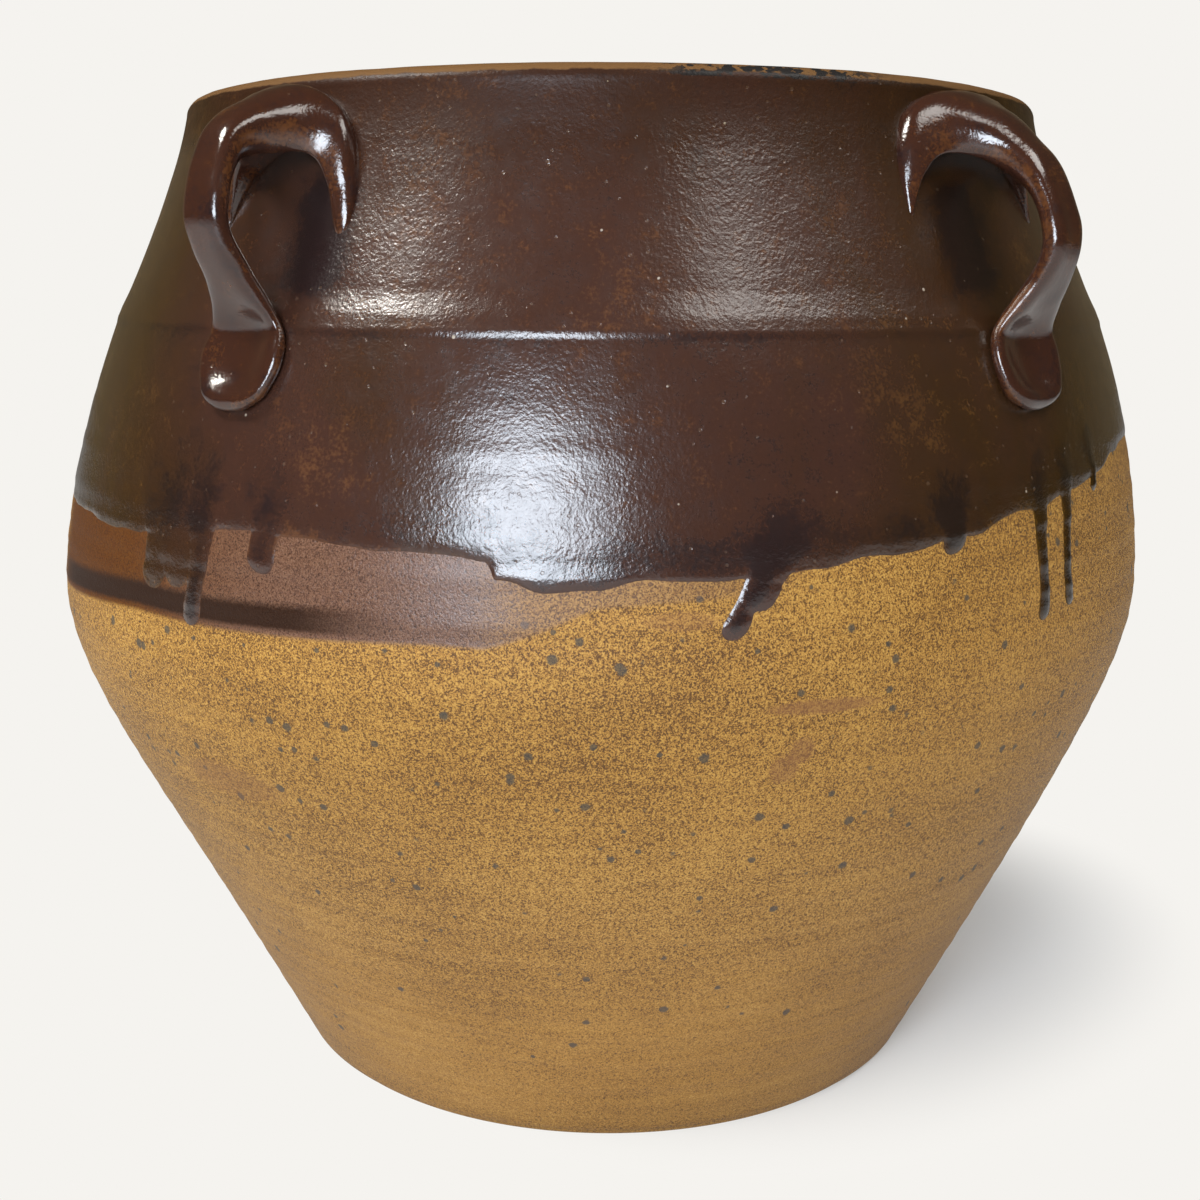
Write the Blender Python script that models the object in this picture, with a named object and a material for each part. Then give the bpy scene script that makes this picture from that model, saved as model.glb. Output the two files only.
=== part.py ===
# Wide stoneware pot with four pulled strap handles and a dark glaze over its upper half.
# Lengths are in metres. The pot stands on the XY plane and its axis is Z.
# Azimuths are in degrees, counted from +X towards +Y.

import math

import bmesh
import bpy

# Thrown wall, on its outer side
pot_height = 0.300
foot_radius = 0.1035
foot_edge = 0.003
belly_radius = 0.172
shoulder_span = 0.0795  # from the belly's widest place up to the ridge
ridge_radius = 0.154
neck_height = 0.063  # from the ridge up to the rim
ridge_height = pot_height - neck_height
belly_height = ridge_height - shoulder_span
ridge_band = 0.006
ridge_step = 0.0012
rim_radius = 0.1316

# Thickness of the clay
wall_thickness = 0.0085
floor_thickness = 0.012
floor_corner = 0.020

# Strap handles: how far they stand off the wall, and where on it they are set
strap_reach = 0.0246
strap_width = 0.0126
strap_thickness = 0.0060
root_width = 0.040
root_droop = 0.040
terminal_width = 0.0285
thumb_hollow = 0.0042
handle_below_rim = 0.007
handle_span = 0.0765
handle_nudge = 5.5  # each handle sits this many degrees off its quarter, nearer the front or the back

# Glaze, which lies over the clay as a skin
glaze_thickness = 0.0006
drip_thickness = 0.0017
drip_width = 0.0062
drip_root = 0.012

clearance = 0.0003  # between neighbouring pieces
overrun = 0.002  # how far a cutter runs past what it cuts

# Powers that bend the three stretches of the wall
lower_wall_power = 8
shoulder_power = 1.7
neck_power = 1.24

# Facets
turned_facets = 48
strap_facets = 12
strap_stations = 25
drip_facets = 8
curtain_facets = 60
curtain_turn_share = 0.4  # of one facet, so that its edges never meet the turned wall's

# Where the wall has its stations, as shares of each stretch
lower_wall_shares = (0.40, 0.68, 0.81, 0.90, 0.96, 1.0)
shoulder_shares = (0.27, 0.52, 0.75, 0.92)
neck_shares = (0.25, 0.50, 0.75, 1.0)
# The ridge: height as a share of ridge_band, radius as a share of ridge_step
ridge_shares = ((-0.45, 0.0), (-0.12, 0.75), (0.12, 1.0), (0.45, 0.45), (1.0, 0.0))
lip_facets = 6
corner_facets = 4

# The strap from its root in the wall to the end of its thumbed terminal. Each row holds the
# reach, the drop, the shares of the root's and the terminal's width, and the shares of the
# thickness, of the root's droop, of the thumb's hollow and of the root's lean along the wall.
strap_shares = (
    (-0.26, 0.006, 1.00, 0.00, 1.50, 1.00, 0.00, 1.00),
    (0.00, 0.000, 1.00, 0.00, 1.46, 0.98, 0.10, 1.00),
    (0.17, 0.009, 0.90, 0.00, 1.34, 0.74, 0.22, 0.92),
    (0.40, 0.032, 0.64, 0.00, 1.20, 0.42, 0.30, 0.66),
    (0.63, 0.076, 0.34, 0.00, 1.10, 0.19, 0.32, 0.32),
    (0.83, 0.143, 0.12, 0.00, 1.04, 0.07, 0.26, 0.08),
    (0.965, 0.222, 0.02, 0.00, 1.00, 0.01, 0.20, 0.00),
    (1.00, 0.312, 0.00, 0.00, 1.00, 0.00, 0.18, 0.00),
    (0.88, 0.418, 0.00, 0.00, 1.00, 0.00, 0.18, 0.00),
    (0.69, 0.510, 0.00, 0.02, 1.00, 0.00, 0.18, 0.00),
    (0.45, 0.604, 0.00, 0.10, 1.02, 0.00, 0.24, 0.00),
    (0.21, 0.686, 0.00, 0.42, 1.08, 0.00, 0.46, 0.00),
    (0.10, 0.765, 0.00, 0.82, 1.16, 0.00, 0.86, 0.00),
    (0.09, 0.841, 0.00, 1.00, 1.20, 0.00, 1.00, 0.00),
    (0.09, 0.915, 0.00, 0.92, 1.18, 0.00, 0.84, 0.00),
    (0.08, 0.972, 0.00, 0.50, 1.04, 0.00, 0.22, 0.00),
    (0.03, 1.000, 0.00, -0.15, 0.50, 0.00, 0.00, 0.00),
)

# The lower edge of the glaze: azimuth, and height as a share of the way from belly to ridge
glaze_line_shares = (
    (0, 0.453),
    (12, 0.592),
    (30, 0.623),
    (60, 0.528),
    (90, 0.404),
    (120, 0.306),
    (150, 0.283),
    (180, 0.351),
    (205, 0.411),
    (230, 0.366),
    (252, 0.313),
    (284, 0.366),
    (295, 0.351),
    (301, 0.325),
    (307, 0.257),
    (316, 0.268),
    (324, 0.298),
    (339, 0.355),
    (351, 0.426),
)
# Runs of glaze: azimuth, height of the tip as a share of the same way, width as a share of
# drip_width, and how many degrees the run leans on its way down
drip_shares = (
    (267.0, 0.14, 1.25, 1.0),
    (272.0, 0.057, 1.05, -0.5),
    (282.0, 0.253, 1.15, -0.8),
    (325.5, 0.106, 1.00, -4.2),
    (342.0, 0.306, 1.50, 0.0),
    (351.8, 0.068, 0.72, 0.0),
    (356.4, 0.094, 0.66, -0.3),
    (4.0, 0.434, 0.60, 0.4),
    (66.0, 0.245, 0.95, 0.6),
    (118.0, 0.075, 1.05, -0.8),
    (124.5, 0.177, 0.75, 0.0),
    (171.0, 0.117, 1.00, 1.5),
    (214.0, 0.189, 1.20, -0.6),
)
# One run from its root under the coat to its tip: the way down, the width and the thickness
drip_form_shares = (
    (0.00, 1.50, 0.10),
    (0.24, 1.25, 0.28),
    (0.47, 0.90, 0.66),
    (0.70, 0.80, 0.90),
    (0.88, 0.96, 1.00),
    (0.97, 0.66, 0.78),
    (1.00, 0.28, 0.34),
)

arch_angle = math.radians(80)  # how far round its half ellipse the handle's root reaches
strap_square = 2 / 3  # below 1, the strap's section is squarer than an ellipse

neck_top = pot_height - wall_thickness / 2
handle_top = pot_height - handle_below_rim


def clear_scene():
    for old in list(bpy.data.objects):
        bpy.data.objects.remove(old, do_unlink=True)


def make_material(name, colour, roughness):
    material = bpy.data.materials.new(name)
    material.use_nodes = True
    shader = material.node_tree.nodes["Principled BSDF"]
    shader.inputs["Base Color"].default_value = (*colour, 1)
    shader.inputs["Roughness"].default_value = roughness
    shader.inputs["Metallic"].default_value = 0
    material.diffuse_color = (*colour, 1)
    return material


def bare_clay():
    return make_material("bare stoneware", (0.40, 0.21, 0.055), 0.62)


def dark_glaze():
    return make_material("dark brown glaze", (0.050, 0.024, 0.014), 0.22)


def handle_glaze():
    return make_material("brown glaze on the handles", (0.062, 0.026, 0.014), 0.20)


def lining_glaze():
    return make_material("brown glaze inside", (0.060, 0.030, 0.016), 0.25)


def as_object(mesh, name, material=None):
    """The bmesh as an object: a piece where it has a material, and otherwise a cutter or a helper."""
    bmesh.ops.recalc_face_normals(mesh, faces=mesh.faces)
    data = bpy.data.meshes.new(name)
    mesh.to_mesh(data)
    mesh.free()
    made = bpy.data.objects.new(name, data)
    bpy.context.scene.collection.objects.link(made)
    if material:
        data.materials.append(material)
        data.shade_smooth()
        data.set_sharp_from_angle(angle=math.radians(40))
    else:
        made.hide_render = True
        made.display_type = "WIRE"
    return made


def combine(piece, other, operation, solver="EXACT"):
    step = piece.modifiers.new(operation.lower() + " " + other.name, "BOOLEAN")
    step.operation = operation
    step.solver = solver
    step.object = other


# Outline of the wall


def lower_wall_radius(height):
    """An almost straight cone that rounds into the belly."""
    way = height / belly_height
    bulge = 1 / (lower_wall_power - 1)
    share = (1 + bulge) * way - bulge * way**lower_wall_power
    return foot_radius + (belly_radius - foot_radius) * share


def shoulder_radius(height):
    way = (height - belly_height) / (ridge_height - belly_height)
    return belly_radius - (belly_radius - ridge_radius) * way**shoulder_power


def neck_radius(height):
    """A neck that leans in and ends upright at the lip."""
    way = min((height - ridge_height) / (neck_top - ridge_height), 1)
    return rim_radius + (ridge_radius - rim_radius) * (1 - way) ** neck_power


def wall_radius(height):
    if height < belly_height:
        return lower_wall_radius(height)
    if height < ridge_height:
        return shoulder_radius(height)
    return neck_radius(height)


def curve_corner(start, corner, end, facets):
    """Points that round a corner, from start to end."""
    points = []
    for step in range(facets + 1):
        way = step / facets
        weights = ((1 - way) ** 2, 2 * way * (1 - way), way**2)
        points.append(
            tuple(sum(w * p[axis] for w, p in zip(weights, (start, corner, end))) for axis in (0, 1))
        )
    return points


def plain_wall():
    """The outer wall without its ridge, as (radius, height) from the foot's edge to the neck's top."""
    heights = [foot_edge]
    heights += [foot_edge + share * (belly_height - foot_edge) for share in lower_wall_shares]
    heights += [belly_height + share * (ridge_height - belly_height) for share in shoulder_shares]
    heights += [ridge_height + ridge_band]
    neck_foot = ridge_height + ridge_band
    heights += [neck_foot + share * (neck_top - neck_foot) for share in neck_shares]
    return [(wall_radius(height), height) for height in heights]


def outer_wall():
    """The outer wall with its ridge."""
    ridge = []
    for height_share, step_share in ridge_shares:
        height = ridge_height + height_share * ridge_band
        ridge.append((wall_radius(height) + step_share * ridge_step, height))
    plain = plain_wall()
    below = [point for point in plain if point[1] < ridge[0][1]]
    above = [point for point in plain if point[1] > ridge[-1][1]]
    return below + ridge + above


def lip_arc():
    """The full round of the lip, from outside over the crest to the inside."""
    half = wall_thickness / 2
    points = []
    for step in range(lip_facets + 1):
        turn = math.pi * step / lip_facets
        points.append((rim_radius - half + half * math.cos(turn), neck_top + half * math.sin(turn)))
    return points


def offset(points, distance, closed=False):
    """The outline moved sideways, to its right-hand side where distance is over zero."""
    following = points[1:] + points[:1] if closed else points[1:]
    normals = []
    for (r0, z0), (r1, z1) in zip(points, following):
        length = math.hypot(r1 - r0, z1 - z0)
        normals.append(((z1 - z0) / length, (r0 - r1) / length))
    moved = []
    for index, (radius, height) in enumerate(points):
        before = normals[index - 1] if index or closed else normals[0]
        after = normals[min(index, len(normals) - 1)]
        mitre = 1 + before[0] * after[0] + before[1] * after[1]
        moved.append(
            (
                radius + distance * (before[0] + after[0]) / mitre,
                height + distance * (before[1] + after[1]) / mitre,
            )
        )
    return moved


def radius_on(points, height):
    """The radius at which an outline that runs upwards passes a height."""
    for (r0, z0), (r1, z1) in zip(points, points[1:]):
        if z1 >= height:
            return r0 + (r1 - r0) * (height - z0) / (z1 - z0)
    return points[-1][0]


def inner_wall():
    """The inside of the pot, from the floor's edge up to below the lip."""
    inside = offset(plain_wall(), -wall_thickness)
    corner_top = floor_thickness + floor_corner
    at_floor = radius_on(inside, floor_thickness)
    corner = curve_corner(
        (at_floor - floor_corner, floor_thickness),
        (at_floor, floor_thickness),
        (radius_on(inside, corner_top), corner_top),
        corner_facets,
    )
    lowest = corner_top + floor_corner / 2
    highest = neck_top - wall_thickness / 2
    return corner + [point for point in inside if lowest < point[1] < highest]


def turn(mesh, outline, closed=False):
    """The outline spun round Z. A closed one makes a ring, and one that is not ends on the axis."""
    corners = [mesh.verts.new((radius, 0, height)) for radius, height in outline]
    edges = [mesh.edges.new(pair) for pair in zip(corners, corners[1:])]
    if closed:
        edges.append(mesh.edges.new((corners[-1], corners[0])))
    bmesh.ops.spin(
        mesh,
        geom=corners + edges,
        cent=(0, 0, 0),
        axis=(0, 0, 1),
        angle=math.tau,
        steps=turned_facets,
        use_merge=True,
    )
    bmesh.ops.remove_doubles(mesh, verts=mesh.verts, dist=clearance / 10)


def pot_body():
    foot = curve_corner((foot_radius - foot_edge, 0), (foot_radius, 0), outer_wall()[0], corner_facets - 1)
    inside = inner_wall()
    outline = [(0, 0)] + foot[:-1] + outer_wall() + lip_arc()[1:] + inside[::-1] + [(0, floor_thickness)]
    mesh = bmesh.new()
    turn(mesh, outline)
    return as_object(mesh, "pot_body", bare_clay())


def wall_envelope():
    """The pot's outer form with the clearance added, filled solid: it cuts what lies on the wall."""
    outside = offset(outer_wall() + lip_arc()[1 : lip_facets // 2 + 1], clearance)
    outline = [(0, outside[0][1])] + outside + [(0, outside[-1][1])]
    mesh = bmesh.new()
    turn(mesh, outline)
    return as_object(mesh, "wall envelope")


def signed_power(value, power):
    return math.copysign(abs(value) ** power, value)


def between_rows(rows, place):
    """A row read from a smooth curve through the rows, where place counts rows."""
    index = min(int(place), len(rows) - 2)
    way = place - index
    before, start = rows[max(index - 1, 0)], rows[index]
    end, after = rows[index + 1], rows[min(index + 2, len(rows) - 1)]
    values = []
    for a, b, c, d in zip(before, start, end, after):
        slopes = (c - a) * way + (2 * a - 5 * b + 4 * c - d) * way**2 + (3 * b - 3 * c + d - a) * way**3
        values.append(b + slopes / 2)
    return values


def strap_centre(place):
    """Where the middle of the strap runs, as (radius, height)."""
    reach, drop = between_rows(strap_shares, place)[:2]
    height = handle_top - drop * handle_span
    return wall_radius(height) + reach * strap_reach, height


def strap_along(place):
    """The direction square to a section. At the root it is the wall's, so that the root's legs lie along it."""
    step = 1 / strap_stations
    r0, z0 = strap_centre(max(place - step, 0))
    r1, z1 = strap_centre(min(place + step, len(strap_shares) - 1))
    lean = min(max(between_rows(strap_shares, place)[7], 0), 1)
    foot = handle_top - root_droop
    slope = math.atan2(wall_radius(foot) - wall_radius(handle_top), root_droop)
    length = math.hypot(r1 - r0, z1 - z0)
    out = (1 - lean) * (r1 - r0) / length + lean * math.cos(slope)
    up = (1 - lean) * (z1 - z0) / length + lean * math.sin(slope)
    size = math.hypot(out, up)
    return out / size, up / size


def strap_section(place):
    """The strap's outline across its run. At the root it hangs down at both sides like a saddle."""
    row = between_rows(strap_shares, place)
    root_share, terminal_share, thickness_share, droop_share, hollow_share = row[2:7]
    half_width = (
        strap_width
        + (root_width - strap_width) * root_share
        + (terminal_width - strap_width) * terminal_share
    ) / 2
    half_thickness = strap_thickness * thickness_share / 2
    droop = root_droop * max(droop_share, 0)
    hollow = thumb_hollow * max(hollow_share, 0)
    points = []
    for facet in range(strap_facets):
        angle = math.tau * facet / strap_facets
        across = signed_power(math.cos(angle), strap_square)
        through = signed_power(math.sin(angle), strap_square)
        arch = across * arch_angle
        normal = (droop * math.sin(arch), half_width * math.cos(arch))
        size = math.hypot(*normal)
        lift = half_thickness * through
        if through > 0:
            lift -= hollow * (1 - across**2) ** 1.5
        side = half_width * math.sin(arch) + lift * normal[0] / size
        rise = lift * normal[1] / size - droop * (1 - math.cos(arch))
        points.append((side, rise))
    return points


def strap_ring(place, azimuth, growth):
    """One section of the strap in its place."""
    radius, height = strap_centre(place)
    along = strap_along(place)
    if place == len(strap_shares) - 1:
        radius += growth * along[0]
        height += growth * along[1]
    points = []
    for side, rise in offset(strap_section(place), growth, closed=True):
        out = radius - rise * along[1]
        up = height + rise * along[0]
        turned = math.radians(azimuth) + side / radius
        points.append((out * math.cos(turned), out * math.sin(turned), up))
    return points


def loft(mesh, rings):
    """A closed skin through rings of points, each extruded from the one before it."""
    corners = [mesh.verts.new(point) for point in rings[0]]
    edges = [mesh.edges.new(pair) for pair in zip(corners, corners[1:] + corners[:1])]
    cap(mesh, corners)
    for ring in rings[1:]:
        made = bmesh.ops.extrude_edge_only(mesh, edges=edges)["geom"]
        new = {item for item in made if isinstance(item, bmesh.types.BMVert)}
        moved = []
        for corner, point in zip(corners, ring):
            ends = (edge.other_vert(corner) for edge in corner.link_edges)
            follower = next(end for end in ends if end in new)
            follower.co = point
            moved.append(follower)
        corners = moved
        edges = [mesh.edges.get(pair) for pair in zip(corners, corners[1:] + corners[:1])]
    cap(mesh, corners)
    bmesh.ops.triangulate(mesh, faces=mesh.faces, quad_method="FIXED")


def cap(mesh, corners):
    """Closes a ring with a strip of faces from its upper to its lower side."""
    count = len(corners)
    for index in range(count // 2):
        ring = [corners[index], corners[index + 1], corners[-index - 1], corners[-index]]
        mesh.faces.new(list(dict.fromkeys(ring)))


def strap(mesh, azimuth, growth=0.0):
    last = len(strap_shares) - 1
    places = [last * station / (strap_stations - 1) for station in range(strap_stations)]
    loft(mesh, [strap_ring(place, azimuth, growth) for place in places])


def handle_azimuths():
    """Two pairs of opposite handles, set a little nearer the front and the back than square."""
    return {
        "handle_front_right": -handle_nudge,
        "handle_back_right": 90 + handle_nudge,
        "handle_back_left": 180 - handle_nudge,
        "handle_front_left": 270 + handle_nudge,
    }


def handles(envelope):
    finish = handle_glaze()
    for name, azimuth in handle_azimuths().items():
        mesh = bmesh.new()
        strap(mesh, azimuth)
        handle = as_object(mesh, name, finish)
        combine(handle, envelope, "DIFFERENCE")


def handle_clearances():
    mesh = bmesh.new()
    for azimuth in handle_azimuths().values():
        strap(mesh, azimuth, clearance)
    return as_object(mesh, "handle clearances")


def shoulder_height(share):
    return belly_height + share * (ridge_height - belly_height)


def glaze_line(azimuth):
    """The height of the glaze's lower edge, smooth all the way round."""
    azimuth %= 360
    rows = [*glaze_line_shares, (360, glaze_line_shares[0][1])]
    for (a0, share0), (a1, share1) in zip(rows, rows[1:]):
        if azimuth <= a1:
            way = (azimuth - a0) / (a1 - a0)
            ease = (1 - math.cos(math.pi * way)) / 2
            return shoulder_height(share0 + (share1 - share0) * ease)


def coat_bottom():
    return shoulder_height(min(share for _, share in glaze_line_shares)) - overrun


def below_glaze():
    """A ring whose wavy top is the glaze's lower edge: it trims the coat."""
    azimuths = [360 * (step + curtain_turn_share) / curtain_facets for step in range(curtain_facets)]
    bottom = coat_bottom() - overrun
    inner = rim_radius / 2
    outer = belly_radius + strap_reach
    mesh = bmesh.new()
    rings = []
    for azimuth in azimuths:
        turned = math.radians(azimuth)
        top = glaze_line(azimuth)
        section = ((inner, top), (outer, top), (outer, bottom), (inner, bottom))
        rings.append(
            [mesh.verts.new((r * math.cos(turned), r * math.sin(turned), z)) for r, z in section]
        )
    for ring, following in zip(rings, rings[1:] + rings[:1]):
        for index in range(4):
            after = (index + 1) % 4
            mesh.faces.new((ring[index], ring[after], following[after], following[index]))
    return as_object(mesh, "below the glaze")


def drip_rings(azimuth, tip_share, width_share, lean):
    top = glaze_line(azimuth) + drip_root
    tip = shoulder_height(tip_share)
    rings = []
    for way, width, thickness in drip_form_shares:
        height = top + (tip - top) * way
        radius = wall_radius(height)
        slope = math.atan2(wall_radius(height + overrun) - wall_radius(height - overrun), 2 * overrun)
        middle = math.radians(azimuth + lean * way)
        ring = []
        for facet in range(drip_facets):
            angle = math.tau * facet / drip_facets
            side = drip_width * width_share * width * math.cos(angle) / 2
            lift = drip_thickness * thickness * math.sin(angle)
            turned = middle + side / radius
            out = radius + lift * math.cos(slope)
            ring.append((out * math.cos(turned), out * math.sin(turned), height - lift * math.sin(slope)))
        rings.append(ring)
    return rings


def drips():
    """The runs of glaze that have left the coat's edge, half sunk in the wall until they are trimmed."""
    mesh = bmesh.new()
    for row in drip_shares:
        loft(mesh, drip_rings(*row))
    return as_object(mesh, "runs of glaze")


def glaze_coat(envelope):
    """The dark coat over the upper half, with its runs, open where the handles are luted on."""
    bottom = coat_bottom()
    stations = [(wall_radius(bottom), bottom)]
    stations += [point for point in outer_wall() if point[1] > bottom + overrun]
    stations += lip_arc()[1:2]
    skin = offset(stations, clearance + glaze_thickness)
    core = offset(stations, -overrun / 2)
    mesh = bmesh.new()
    turn(mesh, skin + core[::-1], closed=True)
    coat = as_object(mesh, "glaze_coat", dark_glaze())
    combine(coat, below_glaze(), "DIFFERENCE", "MANIFOLD")
    combine(coat, drips(), "UNION", "MANIFOLD")
    combine(coat, handle_clearances(), "DIFFERENCE", "MANIFOLD")
    combine(coat, envelope, "DIFFERENCE", "MANIFOLD")


def glaze_lining():
    """The glaze inside the pot, from the floor to below the lip."""
    inside = [(0, floor_thickness)] + inner_wall()
    near = offset(inside, -clearance)
    far = offset(inside, -clearance - glaze_thickness)
    near[0] = (0, near[0][1])
    far[0] = (0, far[0][1])
    mesh = bmesh.new()
    turn(mesh, near + far[::-1])
    return as_object(mesh, "glaze_lining", lining_glaze())


def main():
    clear_scene()
    pot_body()
    envelope = wall_envelope()
    handles(envelope)
    glaze_coat(envelope)
    glaze_lining()


main()
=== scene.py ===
# Stoneware pot with four pulled strap handles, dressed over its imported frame.
# Metres, Z up. Azimuths count in degrees from +X towards +Y.

from math import atan2, copysign, cos, degrees, hypot, pi, radians, sin, tan, tau

import bmesh
import bpy
import numpy as np
from mathutils import Matrix, Vector, noise


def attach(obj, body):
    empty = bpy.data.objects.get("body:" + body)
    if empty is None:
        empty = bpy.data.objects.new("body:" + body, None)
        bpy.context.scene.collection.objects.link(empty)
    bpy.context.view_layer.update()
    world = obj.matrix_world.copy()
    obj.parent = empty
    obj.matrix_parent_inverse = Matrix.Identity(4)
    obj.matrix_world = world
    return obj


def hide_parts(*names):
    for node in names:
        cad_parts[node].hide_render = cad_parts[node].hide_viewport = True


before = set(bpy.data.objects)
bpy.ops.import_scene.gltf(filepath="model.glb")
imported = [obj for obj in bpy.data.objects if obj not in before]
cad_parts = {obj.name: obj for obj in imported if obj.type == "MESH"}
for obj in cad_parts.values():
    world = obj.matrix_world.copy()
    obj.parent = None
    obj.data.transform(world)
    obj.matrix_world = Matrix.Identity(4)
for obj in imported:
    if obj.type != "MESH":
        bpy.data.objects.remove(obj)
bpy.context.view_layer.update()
scene = bpy.context.scene
print("frame loaded")


def addObject(name, data):
    made = bpy.data.objects.new(name, data)
    scene.collection.objects.link(made)
    return made


# The camera looks a little down on the front.
cameraPlan = {
    "lens": 47.01,
    "sensor": 36,
    "nearest": 0.01,
    "place": (0.34787, -0.3932, 0.2496),
    "turn": 41.767,   # which way it faces
    "pitch": 11.71,   # how far it looks down
    "roll": 0.254,
}


def makeCamera():
    data = bpy.data.cameras.new("camera")
    data.lens = cameraPlan["lens"]
    data.sensor_width = cameraPlan["sensor"]
    data.clip_start = cameraPlan["nearest"]
    camera = addObject("camera", data)
    angles = ((cameraPlan["turn"], "Z"), (90 - cameraPlan["pitch"], "X"), (cameraPlan["roll"], "Z"))
    turn, pitch, roll = (Matrix.Rotation(radians(angle), 4, axis) for angle, axis in angles)
    camera.matrix_world = Matrix.Translation(cameraPlan["place"]) @ turn @ pitch @ roll
    scene.camera = camera


makeCamera()
print("camera placed")


# Helpers for shapes.
def between(start, end, share):
    return start + (end - start) * share


def smoothStep(value, low, high):
    way = np.clip((value - low) / (high - low), 0, 1)
    return way * way * (3 - 2 * way)


def window(value, rise, fall):
    return smoothStep(value, *rise) * (1 - smoothStep(value, *fall))


def hump(value, middle, reach):
    return np.exp(-(((value - middle) / reach) ** 2))


def turnFrom(azimuth, place):
    return (azimuth - place + 180) % 360 - 180


def levelWay(azimuth):
    turn = radians(azimuth)
    return cos(turn), sin(turn), 0


# A coarse spin, whose level edges are then cut finer and pushed back to the round.
spinPlan = {"steps": 36, "weld": 0.00001, "level": 0.000002}


def spinOutline(mesh, outline, columns, closed=False):
    ring = [mesh.verts.new((radius, 0, height)) for radius, height in outline]
    edges = [mesh.edges.new(pair) for pair in zip(ring, ring[1:])]
    if closed:
        edges.append(mesh.edges.new((ring[-1], ring[0])))
    steps = spinPlan["steps"]
    sweep = {"cent": (0, 0, 0), "axis": (0, 0, 1), "angle": tau, "steps": steps}
    bmesh.ops.spin(mesh, geom=ring + edges, use_merge=True, **sweep)
    bmesh.ops.remove_doubles(mesh, verts=mesh.verts, dist=spinPlan["weld"])
    level = []
    for edge in mesh.edges:
        first, second = (vertex.co for vertex in edge.verts)
        rise = abs(first.z - second.z)
        if rise < spinPlan["level"] and abs(first.xy.length - second.xy.length) < spinPlan["level"]:
            level.append(edge)
    bmesh.ops.subdivide_edges(mesh, edges=level, cuts=columns // steps - 1, use_grid_fill=True)
    half = pi / steps
    for vertex in mesh.verts:
        off = atan2(vertex.co.y, vertex.co.x) % (2 * half) - half
        vertex.co.xy *= cos(off) / cos(half)
    bmesh.ops.recalc_face_normals(mesh, faces=mesh.faces)


def asPiece(mesh, name, material):
    data = bpy.data.meshes.new(name)
    mesh.to_mesh(data)
    mesh.free()
    data.materials.append(material)
    data.shade_smooth()
    return addObject(name, data)


def readPoints(data):
    points = np.zeros(len(data.vertices) * 3)
    data.vertices.foreach_get("co", points)
    return points.reshape(-1, 3)


def readNormals(data):
    normals = np.zeros(len(data.vertices) * 3, np.float32)
    data.vertex_normals.foreach_get("vector", normals)
    return normals.reshape(-1, 3).astype(float)


def readSkin(piece):
    # the height is a view of the points, so it moves with them
    points = readPoints(piece.data)
    return points, readNormals(piece.data), np.hypot(points[:, 0], points[:, 1]), points[:, 2]


def writePoints(data, points):
    data.vertices.foreach_set("co", points.astype(np.float32).ravel())
    data.update()


def writeValues(piece, name, values):
    layer = piece.data.attributes.new(name, "FLOAT", "POINT")
    layer.data.foreach_set("value", values.astype(np.float32))


def lumps(points, size, seed):
    shift = Vector((seed * 3.7, seed * 1.3, seed * 2.1))
    return np.array([noise.noise(Vector(point) / size + shift) for point in points])


def azimuthOf(points):
    return np.degrees(np.arctan2(points[:, 1], points[:, 0])) % 360


def facingOut(points, normals):
    return normals[:, 0] * points[:, 0] + normals[:, 1] * points[:, 1]


# The thrown form that every piece follows.
potForm = {
    "height": 0.3,
    "footRadius": 0.1035,
    "footEdge": 0.003,
    "bellyRadius": 0.172,
    "bellyHeight": 0.1575,
    "ridgeRadius": 0.154,
    "ridgeHeight": 0.237,
    "ridgeStep": 0.0004,    # how far the ridge stands out
    "ridgeFade": 0.0095,    # how far above the ridge it has faded into the neck
    "ridgeUndercut": 0.0024,
    "ridgeSoft": 0.0012,
    "rimRadius": 0.1316,
    "wall": 0.0085,
    "floor": 0.012,
    "corner": 0.02,
    "lowerPower": 8,
    "shoulderPower": 1.7,
    "neckPower": 1.24,
    "lean": 0.0026,         # the belly sits this far to the left of the foot
    "leanHeight": 0.141,
    "leanReach": 0.06,
    "leanAzimuth": 221.5,
    # what the thrower's fingers left: share of the depth, pitch, turns that it drifts, offset
    "rings": ((0.9, 0.0098, 1, 0.4), (0.6, 0.0057, -2, 1.9), (0.35, 0.0035, 1, 4.1)),
    "ringDepth": 0.00008,
    "ringsFrom": (0.002, 0.02),
    "ringsTo": (0.19, 0.23),
}

neckTop = potForm["height"] - potForm["wall"] / 2
shoulderSpan = potForm["ridgeHeight"] - potForm["bellyHeight"]


def plainRadius(height):
    height = np.asarray(height, float)
    foot, belly = potForm["footRadius"], potForm["bellyRadius"]
    ridge, rim = potForm["ridgeRadius"], potForm["rimRadius"]
    bellyHeight, ridgeHeight = potForm["bellyHeight"], potForm["ridgeHeight"]
    way = np.clip(height / bellyHeight, 0, 1)
    bulge = 1 / (potForm["lowerPower"] - 1)
    lower = between(foot, belly, (1 + bulge) * way - bulge * way ** potForm["lowerPower"])
    way = np.clip((height - bellyHeight) / shoulderSpan, 0, 1)
    shoulder = between(belly, ridge, way ** potForm["shoulderPower"])
    way = np.clip((height - ridgeHeight) / (neckTop - ridgeHeight), 0, 1)
    neck = between(rim, ridge, (1 - way) ** potForm["neckPower"])
    return np.select([height < bellyHeight, height < ridgeHeight], [lower, shoulder], neck)


def plainAt(height):
    return float(plainRadius(height))


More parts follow.
